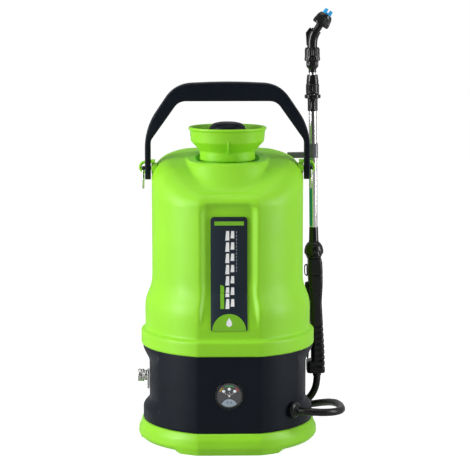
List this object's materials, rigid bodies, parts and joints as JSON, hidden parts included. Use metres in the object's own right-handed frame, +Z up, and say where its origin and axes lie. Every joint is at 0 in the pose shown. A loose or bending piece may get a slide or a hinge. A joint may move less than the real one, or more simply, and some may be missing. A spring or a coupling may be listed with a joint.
{
  "type": "backpack sprayer",
  "caption": "Upright garden sprayer: round tank on a powered base, funnel filler with cap, bail handle, hose and telescopic trigger lance clipped to the side.",
  "frame": {"origin": "on the floor under the middle of the tank, on the bottom cover's underside", "axes": "+Z up along the tank's axis; the front with the gauge and label faces -Y; the lance is on +X"},
  "size_m": [0.248, 0.3437, 0.5163],
  "materials": {
    "tank_green": "satin blow-moulded polyethylene",
    "moulded_green": "satin moulded polypropylene",
    "navy_plastic": "satin moulded plastic",
    "black_plastic": "gloss moulded nylon",
    "grip_plastic": "fine-textured moulded nylon",
    "black_rubber": "satin PVC or rubber",
    "label_film": "printed film, semi-gloss",
    "gauge_grey": "smooth panel film",
    "gauge_light": "milky light lens",
    "button_grey": "soft moulded key",
    "nickel": "nickel plated, slightly dull",
    "steel": "polished stainless steel",
    "motor_steel": "zinc plated can",
    "clip_grey": "smoky moulded plastic",
    "blue_plastic": "gloss moulded nozzle insert",
    "mesh_white": "moulded strainer mesh",
    "cell_blue": "shrink-wrapped cells",
    "board_green": "solder mask"
  },
  "bodies": {
    "base": {"tank_shell": "tank_green", "foot_tray": "moulded_green", "filler_funnel": "moulded_green", "strap_loop_left": "moulded_green", "strap_loop_right": "moulded_green", "bottom_cover": "navy_plastic", "base_housing": "navy_plastic", "pivot_pin_left": "black_plastic", "pivot_pin_right": "black_plastic", "gauge_bezel": "black_plastic", "charge_socket": "black_plastic", "pump_head": "black_plastic", "suction_fitting": "black_plastic", "hose_tie": "black_plastic", "grip_front": "grip_plastic", "grip_rear": "grip_plastic", "hose_nut": "black_plastic", "grip_nut": "black_plastic", "taper_sleeve": "black_plastic", "collet_body": "black_plastic", "lance_clip": "clip_grey", "delivery_hose": "black_rubber", "hose_grommet": "black_rubber", "hose_front": "black_rubber", "hose_rear": "black_rubber", "hose_coil": "black_rubber", "label_plate": "label_film", "gauge_face": "gauge_grey", "gauge_lights": "gauge_light", "knob_bracket": "nickel", "cover_screw_1": "nickel", "cover_screw_2": "nickel", "cover_screw_3": "nickel", "cover_screw_4": "nickel", "outer_tube": "steel", "trigger_pin": "steel", "valve_spring": "steel", "pump_motor": "motor_steel", "strainer_basket": "mesh_white", "suction_hose": "mesh_white", "battery_pack": "cell_blue", "control_board": "board_green"},
    "gasket": {"cap_gasket": "black_rubber"},
    "cap": {"tank_cap": "navy_plastic"},
    "button": {"test_button": "button_grey"},
    "knob": {"side_knob": "nickel"},
    "flap": {"charge_flap": "black_rubber"},
    "handle": {"bail_handle": "navy_plastic"},
    "hook_left": {"snap_hook_left": "nickel"},
    "hook_right": {"snap_hook_right": "nickel"},
    "trigger": {"trigger_lever": "grip_plastic"},
    "plunger": {"valve_plunger": "steel"},
    "lock": {"trigger_lock": "black_plastic"},
    "collet": {"collet_nut": "black_plastic"},
    "wand": {"inner_tube": "steel", "tube_adaptor": "black_plastic", "nozzle_elbow": "black_plastic"},
    "coupling": {"coupling_nut": "black_plastic"},
    "nozzle": {"nozzle_cap": "black_plastic", "nozzle_tip": "blue_plastic"}
  },
  "joints": [
    {"name": "cap_rise", "type": "slide", "parent": "base", "child": "gasket", "axis": [0, 0, 1], "range_m": [0, 0.0065]},
    {"name": "cap_turn", "type": "hinge", "parent": "gasket", "child": "cap", "pos_m": [0, 0, 0.36], "axis": [0, 0, 1], "range_deg": [0, 540]},
    {"name": "test_button_press", "type": "slide", "parent": "base", "child": "button", "axis": [0, 1, 0], "range_m": [0, 0.0015], "stiffness_N_per_m": 400},
    {"name": "side_knob_turn", "type": "hinge", "parent": "base", "child": "knob", "pos_m": [-0.1007, 0, 0.0758], "axis": [-1, 0, 0], "range_deg": [0, 270]},
    {"name": "charge_flap_lift", "type": "hinge", "parent": "base", "child": "flap", "pos_m": [0, 0.1044, 0.0735], "axis": [1, 0, 0], "range_deg": [0, 110]},
    {"name": "handle_swing", "type": "hinge", "parent": "base", "child": "handle", "pos_m": [0, 0, 0.3276], "axis": [1, 0, 0], "range_deg": [-38, 80]},
    {"name": "hook_left_swing", "type": "hinge", "parent": "base", "child": "hook_left", "pos_m": [-0.1009, 0.018, 0.3216], "axis": [1, 0, 0], "range_deg": [-30, 30]},
    {"name": "hook_right_swing", "type": "hinge", "parent": "base", "child": "hook_right", "pos_m": [0.1009, 0.018, 0.3216], "axis": [1, 0, 0], "range_deg": [-30, 30]},
    {"name": "trigger_pull", "type": "hinge", "parent": "base", "child": "trigger", "pos_m": [0.10368, 0.052, 0.17483], "axis": [0, -1, 0], "range_deg": [0, 4], "stiffness_Nm_per_rad": 0.6, "springref_deg": -5.73},
    {"name": "valve_plunger_press", "type": "slide", "parent": "base", "child": "plunger", "axis": [0.9999, 0, 0.0136], "range_m": [0, 0.0012]},
    {"name": "trigger_lock_slide", "type": "slide", "parent": "base", "child": "lock", "axis": [0.0136, 0, -0.9999], "range_m": [0, 0.0055]},
    {"name": "collet_turn", "type": "hinge", "parent": "base", "child": "collet", "pos_m": [0.1045, 0.052, 0.42287], "axis": [-0.0136, 0, 0.9999], "range_deg": [0, 180]},
    {"name": "wand_extend", "type": "slide", "parent": "base", "child": "wand", "axis": [-0.0136, 0, 0.9999], "range_m": [0, 0.13]},
    {"name": "coupling_turn", "type": "hinge", "parent": "wand", "child": "coupling", "pos_m": [0.104, 0.052, 0.45986], "axis": [-0.0136, 0, 0.9999], "range_deg": [0, 360]},
    {"name": "nozzle_turn", "type": "hinge", "parent": "wand", "child": "nozzle", "pos_m": [0.11291, 0.052, 0.49539], "axis": [0.5332, 0, 0.846], "range_deg": [0, 360]}
  ],
  "couplings": [
    {"joint": "cap_rise", "follows": "cap_turn", "m_per_rad": 0.0006366},
    {"joint": "valve_plunger_press", "follows": "trigger_pull", "m_per_rad": 0.017}
  ]
}
